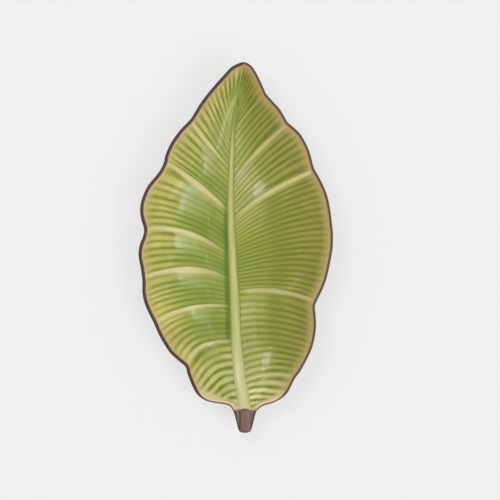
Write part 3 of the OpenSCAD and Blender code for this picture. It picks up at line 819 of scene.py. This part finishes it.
def greenGlazeMaterial():
    look = greenLook
    material, tree, fired, step = startFinish("greenGlaze", look)
    spot = place(tree, "ShaderNodeTexCoord").outputs["Object"]
    count, across = uvPair(tree, "leafMap")
    ribs, toRim = uvPair(tree, "ribMap")
    toVein, paleness = uvPair(tree, "veinMap")
    right = sums(tree, "GREATER_THAN", ribs, rightFrom)
    inPanel = sums(tree, "FRACT", count)
    nearStem = plus(tree, count, right)
    # wide ribs with narrow grooves, the grooves deeper in some places than in others
    wander = swing(tree, mottle(tree, spot, look["wanderScale"], 1.0), look["wander"])
    wave = sums(tree, "COSINE", times(tree, plus(tree, ribs, wander), 2 * math.pi))
    perRib = mottle(tree, vector(tree, ribs, times(tree, across, look["ribStretch"])), look["ribNoise"])
    uneven = times(tree, swing(tree, perRib, look["uneven"]), either(tree, right, look["unevenSides"]))
    ridge = fade(tree, plus(tree, wave, uneven), either(tree, right, look["grooveSides"]),
                 either(tree, right, look["ribSides"]))
    # the waves are fainter in the inner half, where the glaze lies thick, but not near the stem
    fainter = times(tree, step(across, "innerHalf"), either(tree, right, look["fainterSides"]))
    fainter = times(tree, plus(tree, fainter, 1.0), minus(tree, ridge, look["middleTone"]))
    ridge = mixed(tree, step(nearStem, "stemWaves"), plus(tree, fainter, look["middleTone"]), ridge)
    # glaze pools deep green in the lower part of each panel, next to the midrib
    pooled = times(tree, step(inPanel, "poolPanel"), step(across, "poolAcross"))
    pooled = times(tree, pooled, step(fired["Mottle"], "poolPatches"))
    pooled = times(tree, pooled, either(tree, right, look["poolSides"]))
    # thin glaze leaves the ribs pale; in the outer half on the right most of that paleness is held back,
    # painted shade on the wall turned from the light
    shadedOuter = times(tree, times(tree, right, step(across, "outerHalf")), step(nearStem, "outerPanels"))
    thin = times(tree, uvPair(tree, "thinMap")[0], either(tree, shadedOuter, look["shadedOuterThin"]))
    # halfway out, the upper part of each panel is painted calm, its ribs and grooves drawn toward one mid
    # green: a painted reflection of the soft lamps mirrored there, which hides the ribs
    paintedReflection = times(tree, step(inPanel, "calmPanel"), step(away(tree, across, look["calmMiddle"]), "calmReach"))
    paintedReflection = times(tree, paintedReflection, either(tree, right, look["calmSides"]))
    # ribs and grooves take their side's colours, with the painted light and shade near the rim
    ribColour = layers(
        tree, mixed(tree, right, ramp(tree, across, "leftRib"), ramp(tree, across, "rightRib")),
        (times(tree, pooled, look["poolOnRibs"]), "pool"), (thin, "thinRib"),
        (times(tree, paintedReflection, look["calmOnRibs"]), "paintedReflection"))
    grooveColour = layers(
        tree, mixed(tree, right, ramp(tree, across, "leftGroove"), ramp(tree, across, "rightGroove")),
        (pooled, "pool"), (times(tree, thin, look["thinOnGrooves"]), "thinGroove"), (paintedReflection, "paintedReflection"))
    # on the right a deeper band halfway out, and shade beside the midrib at the tip
    band = times(tree, times(tree, step(across, "bandRise"), step(across, "bandFall")), right)
    band = times(tree, times(tree, band, step(nearStem, "bandEnd")), step(count, "bandStart"))
    shaded = times(tree, times(tree, step(count, "tipPanel"), step(across, "tipAcross")), right)
    # on the left a dark line of glaze along the midrib
    line = times(tree, step(across, "lineAcross"), step(count, "lineStart"))
    line = times(tree, line, times(tree, step(count, "lineEnd"), minus(tree, 1.0, right)))
    # margin, where the glaze thins over the edge, creamy near the stem
    edge = plus(tree, toRim, swing(tree, fired["Mottle"], look["edgeWander"]))
    margin = times(tree, step(edge, "margin"), either(tree, right, look["marginSides"]))
    creamy = times(tree, step(nearStem, "creamPanel"), step(edge, "cream"))
    # main veins: a pale core with a crisp upper edge and a faint seam, fading into yellow below it
    paleness = times(tree, paleness, step(across, "veinStart"))
    below = sums(tree, "LESS_THAN", inPanel, 0.5)
    nearVein = plus(tree, toVein, swing(tree, perRib, look["veinWander"]))
    glow = times(tree, step(nearVein, "glow"), either(tree, below, look["glowParts"]))
    core = fade(tree, nearVein, either(tree, below, look["coreEdges"]), look["core"])
    seam = times(tree, step(away(tree, nearVein, look["seamMiddle"]), "seam"), times(tree, below, paleness))
    lip = minus(tree, toRim, times(tree, right, look["lipShift"]))
    lip = times(tree, step(lip, "lip"), either(tree, right, look["lipSides"]))
    colour = layers(
        tree, mixed(tree, ridge, grooveColour, ribColour),
        (step(fired["Mottle"], "poolMist"), "pool"), (band, "deep"), (shaded, "pool"), (line, "trench"),
        (margin, "margin"), (creamy, "cream"), (times(tree, glow, paleness), "veinGlow"),
        (times(tree, core, paleness), "vein"), (seam, "veinGlow"))
    colour = mixed(tree, lip, colour, lipColour(tree, right, step(nearStem, "lipCream")))
    colour = mixed(tree, times(tree, fired["Specks"], look["specks"]), colour, colours["midribDark"])
    finishWith(tree, colour, look, fired, None)
    return material


# places along the midrib are in millimetres of y
paleLook = {
    "roughness": 0.07, "grain": 1.0, "bump": 0.05, "specks": 0.1,
    "streakAcross": 1.6, "streakAlong": 0.03, "streakScale": 1.3, "streaks": (0.3, 0.62),
    "leftShade": (-0.4, -0.95, 0.0, 0.5), "low": (-62.0, -92.0), "lowShare": 0.75, "channel": (0.92, 1.2),
    "tip": (70.0, 98.0, 0.0, 0.85), "stemCream": (-119.0, -122.0, 0.0, 0.8),
    "arch": (1.3, -0.1), "archEdge": (0.2, -0.2),
}


def paleGlazeMaterial():
    look = paleLook
    material, tree, fired, step = startFinish("paleGlaze", look)
    acrossRib, along = uvPair(tree, "midribMap")
    side = sums(tree, "ABSOLUTE", acrossRib)
    drawn = vector(tree, times(tree, acrossRib, look["streakAcross"]),
                   times(tree, along, look["streakAlong"]))
    streaks = step(mottle(tree, drawn, look["streakScale"], 3.0), "streaks")
    low = step(along, "low")
    colour = layers(
        tree, mixed(tree, streaks, colours["midribDark"], colours["midrib"]),
        (step(acrossRib, "leftShade"), "midribDark"), (times(tree, low, look["lowShare"]), "midribLow"))
    channel = mixed(tree, low, colours["channel"], colours["channelLow"])
    colour = mixed(tree, step(side, "channel"), colour, channel)
    # the midrib sinks into the green near the tip, and ends pale at the stem
    colour = layers(
        tree, colour, (step(along, "tip"), "tipGreen"), (step(along, "stemCream"), "cream"))
    # the stem's brown ends on it in an arch, furthest in along the middle
    arch = either(tree, sums(tree, "POWER", side, 2.0), look["arch"])
    brown = step(minus(tree, minus(tree, along, baseY), arch), "archEdge")
    colour = mixed(tree, brown, colour, colours["stem"])
    colour = mixed(tree, times(tree, fired["Specks"], look["specks"]), colour, colours["midribDark"])
    finishWith(tree, colour, look, fired, None)
    return material


# places over the rim run from 0 at the glaze to 1 under the edge
brownLook = {
    "roughness": 0.3, "specular": 0.3, "grain": 1.6, "bump": 0.12, "rough": (0.3, 0.7, 0.26, 0.42),
    "dark": (0.15, 0.7), "redder": (0.42, 0.28, 0.0, 0.5),
    "notch": (0.1, 0.0), "notchOver": (0.7, 0.3), "notchShare": 0.15,
    "wornScale": 160.0, "worn": (0.5, 0.72), "wornOver": (0.5, 0.15), "wornShare": 0.5,
    # how much paler the rim on the right is painted: painted light from the lamps on the right
    "litRightShare": 0.55, "stemThin": (6.3, 6.65, 0.0, 0.6),
    "lipWander": 0.12, "lip": (0.1, 0.0), "lipCream": (6.2, 6.6),
    "lipNearStem": (6.3, 6.65, 0.0, 0.25), "lipOnRight": (6.3, 6.65, 0.12, 0.0),
}


def brownRimMaterial():
    look = brownLook
    material, tree, fired, step = startFinish("brownRim", look)
    count, over = uvPair(tree, "rimMap")
    right = sums(tree, "GREATER_THAN", count, rightFrom)
    nearStem = minus(tree, count, times(tree, right, sides["right"]["countFrom"] - 1.0))
    spot = place(tree, "ShaderNodeTexCoord").outputs["Object"]
    worn = mottle(tree, spot, look["wornScale"], 3.0, 0.6)
    # redder and paler toward the inside, and where a vein runs out over the rim
    notch = away(tree, sums(tree, "FRACT", plus(tree, count, 0.5)), 0.5)
    notch = times(tree, step(notch, "notch"), step(over, "notchOver"))
    pale = times(tree, step(worn, "worn"), step(over, "wornOver"))
    # the rim on the right is painted paler all over, painted light from the lamps on that side
    colour = layers(
        tree, mixed(tree, step(over, "dark"), colours["rimMid"], colours["rimDark"]),
        (step(over, "redder"), "rimPale"), (times(tree, notch, look["notchShare"]), "rimPale"),
        (times(tree, pale, look["wornShare"]), "rimPale"),
        (times(tree, right, look["litRightShare"]), "rimPale"), (step(nearStem, "stemThin"), "rimThin"))
    # the glaze's tan lip runs a little way onto it
    inner = plus(tree, over, swing(tree, worn, look["lipWander"]))
    inner = minus(tree, inner, step(nearStem, "lipNearStem"))
    inner = minus(tree, inner, times(tree, right, step(nearStem, "lipOnRight")))
    colour = mixed(tree, step(inner, "lip"), colour, lipColour(tree, right, step(nearStem, "lipCream")))
    finishWith(tree, colour, look, fired, fired["Mottle"])
    return material


underLook = {
    "roughness": 0.35, "grain": 1.2, "bump": 0.2, "specks": 0.5, "rough": (0.3, 0.7, 0.28, 0.5),
    "pale": (0.3, 0.7), "darkEdge": (0.15, 0.0), "thinWander": 0.1, "thin": (0.95, 1.0),
}


def brownUnderMaterial():
    look = underLook
    material, tree, fired, step = startFinish("brownUnderside", look)
    inwards = uvPair(tree, "bellyMap")[1]
    pale = step(fired["Mottle"], "pale")
    thin = step(plus(tree, inwards, swing(tree, fired["Mottle"], look["thinWander"])), "thin")
    colour = layers(
        tree, mixed(tree, pale, colours["under"], colours["underPale"]),
        (step(inwards, "darkEdge"), "rimDark"), (times(tree, fired["Specks"], look["specks"]), "rimDark"),
        (thin, "stem"))
    finishWith(tree, colour, look, fired, fired["Mottle"])
    return material


# places across the stem run from -1 on the left to 1 on the right, and along it from 0 at the leaf to 1
washLook = {
    "roughness": 0.42, "specular": 0.35, "grain": 1.5, "bump": 0.1, "rough": (0.3, 0.7, 0.46, 0.34),
    "narrowing": (0.0, 1.1, 1.0, 0.52), "fibreAcross": 4.0, "fibreAlong": 0.8, "fibreScale": 2.0,
    "fibres": (0.3, 0.7, 0.0, 0.6), "redSide": (0.15, 0.36), "redShare": 0.8,
    "rightShade": (0.4, 0.52, 0.0, 0.45),
    "grooveMiddle": -0.46, "groove": (0.12, 0.02), "grooveShare": 0.85,
    # where the painted highlight lies on the left flank
    "flankMiddle": -0.62, "flank": (0.12, 0.03), "flankHighlightShare": 0.8,
    "under": (0.72, 0.35), "end": (0.9, 1.0),
    "runWander": 0.3, "run": (0.16, 0.0), "runSides": (0.42, 0.5), "runPatches": (0.42, 0.58, 0.15, 0.75),
}


def stemMaterial():
    look = washLook
    material, tree, fired, step = startFinish("stemWash", look)
    turn, along = uvPair(tree, "stemMap")
    over = times(tree, sums(tree, "COSINE", turn), step(along, "narrowing"))
    drawn = vector(tree, times(tree, over, look["fibreAcross"]), times(tree, along, look["fibreAlong"]))
    fibre = mottle(tree, drawn, look["fibreScale"], 3.0)
    # dark in the grooves beside the rib; the left flank paler, a painted highlight
    groove = step(away(tree, over, look["grooveMiddle"]), "groove")
    flank = step(away(tree, over, look["flankMiddle"]), "flank")
    # glaze has run a little way onto the stem
    run = step(plus(tree, along, swing(tree, fibre, look["runWander"])), "run")
    run = times(tree, run, step(sums(tree, "ABSOLUTE", over), "runSides"))
    run = times(tree, run, step(fibre, "runPatches"))
    colour = layers(
        tree, mixed(tree, step(fibre, "fibres"), colours["stem"], colours["stemRed"]),
        (times(tree, step(over, "redSide"), look["redShare"]), "stemRed"),
        (step(over, "rightShade"), "stemDark"), (times(tree, flank, look["flankHighlightShare"]), "stemHighlight"),
        (times(tree, groove, look["grooveShare"]), "stemDark"),
        (step(sums(tree, "SINE", turn), "under"), "rimMid"), (step(along, "end"), "stemDark"),
        (run, "stemGlaze"))
    finishWith(tree, colour, look, fired, fibre)
    return material


bareLook = {
    "roughness": 0.85, "bump": 0.3, "specks": 0.6, "pale": (0.3, 0.7), "rough": (0.3, 0.7, 0.78, 0.92),
}


def clayMaterial(name, grain):
    look = dict(bareLook, grain=grain)
    material, tree, fired, step = startFinish(name, look)
    colour = mixed(tree, step(fired["Mottle"], "pale"), colours["clay"], colours["clayPale"])
    colour = mixed(tree, times(tree, fired["Specks"], look["specks"]), colour, colours["clayDark"])
    finishWith(tree, colour, look, fired, fired["Mottle"])
    return material


dress(faceGlaze, greenGlazeMaterial())
dress(midribGlaze, paleGlazeMaterial())
dress(rimCoat, brownRimMaterial())
dress(undersideCoat, brownUnderMaterial())
dress(stem, stemMaterial())
dress(leafClay, clayMaterial("firedClay", 1.0))
dress(midribClay, clayMaterial("midribClay", 1.2))
dress(footRing, clayMaterial("footClay", 1.4))
print("materials made")


# pale table, lamps and camera
stageLook = {
    "floorSize": 6.0, "floorColour": 0.87, "floorRoughness": 0.9, "seenLift": 0.75, "world": 0.45,
    "lampHeight": 3.0,
}
# each lamp is a soft box between two angles from straight up, in degrees, across and along the leaf
lamps = {
    "rightBox": {"across": (36, 43), "along": (-30, -8), "radiance": 3.6},
    "rightBoxMiddle": {"across": (28, 43), "along": (-34, -5), "radiance": 2.4},
    "rightBoxSoft": {"across": (18, 43), "along": (-34, -2), "radiance": 1.5},
    "rightBoxWide": {"across": (11, 43), "along": (-34, 0), "radiance": 0.9},
    "rightBoxFaint": {"across": (5, 43), "along": (-30, 2), "radiance": 0.5},
    "leftBox": {"across": (-40, -22), "along": (10, 21), "radiance": 4.3},
    "leftBoxWide": {"across": (-48, -3), "along": (10, 24), "radiance": 0.8},
    "leftBoxFaint": {"across": (-34, 10), "along": (4, 28), "radiance": 0.4},
    "baseBox": {"across": (-38, 8), "along": (12, 36), "radiance": 1.2},
    "baseBoxEdge": {"across": (-38, -8), "along": (17, 36), "radiance": 2.6},
    "topBox": {"across": (1.5, 7), "along": (-5, 4), "radiance": 1.6},
    "tipBox": {"across": (37, 52), "along": (-50, -26), "radiance": 2.0},
}

deselectAll()
bpy.ops.mesh.primitive_plane_add(size=stageLook["floorSize"], location=(0, 0, 0))
floor = bpy.context.object
floor.name = "table"
floorMaterial, floorTree, floorShader = newMaterial("tableTop", stageLook["floorRoughness"], 0.0)
floorColour = (stageLook["floorColour"],) * 3 + (1,)
floorShader.inputs["Base Color"].default_value = floorColour
# as the camera and reflections see it, the table is nearer its plain colour than its light makes it
ray = place(floorTree, "ShaderNodeLightPath")
seen = sums(floorTree, "MAXIMUM", ray.outputs["Is Camera Ray"], ray.outputs["Is Glossy Ray"])
seen = sums(floorTree, "MAXIMUM", seen, ray.outputs["Is Transmission Ray"])
plain = place(floorTree, "ShaderNodeEmission", {"Color": floorColour, "Strength": 1.0})
blend = place(floorTree, "ShaderNodeMixShader", {0: times(floorTree, seen, stageLook["seenLift"]),
              1: floorShader.outputs[0], 2: plain.outputs[0]})
floorTree.links.new(blend.outputs[0], floorTree.nodes["Material Output"].inputs["Surface"])
dress(floor, floorMaterial)

for name, lamp in lamps.items():
    angles = np.radians([lamp["across"], lamp["along"]])
    low, high = np.tan(angles).T * stageLook["lampHeight"]
    middle, size = (low + high) / 2, high - low
    light = bpy.data.lights.new(name, "AREA")
    light.shape = "RECTANGLE"
    light.size, light.size_y = size
    light.energy = lamp["radiance"] * math.pi * size[0] * size[1]
    holder = bpy.data.objects.new(name, light)
    bpy.context.collection.objects.link(holder)
    holder.location = (*middle, stageLook["lampHeight"])

world = bpy.context.scene.world or bpy.data.worlds.new("studio")
bpy.context.scene.world = world
world.use_nodes = True
sky = world.node_tree.nodes["Background"]
sky.inputs["Color"].default_value = (1, 1, 1, 1)
sky.inputs["Strength"].default_value = stageLook["world"]

# the camera looks straight down, with the frame's width at the level of the rim
view = {"centre": (0.01075, -0.0017), "height": 2.6, "frame": 0.37785, "rimLevel": 0.024, "sensor": 36.0}
cameraData = bpy.data.cameras.new("overhead")
cameraData.sensor_width = view["sensor"]
cameraData.lens = view["sensor"] * (view["height"] - view["rimLevel"]) / view["frame"]
camera = bpy.data.objects.new("overhead", cameraData)
bpy.context.collection.objects.link(camera)
camera.location = (*view["centre"], view["height"])
bpy.context.scene.camera = camera
bpy.context.scene.view_settings.view_transform = "Standard"
print("studio set")
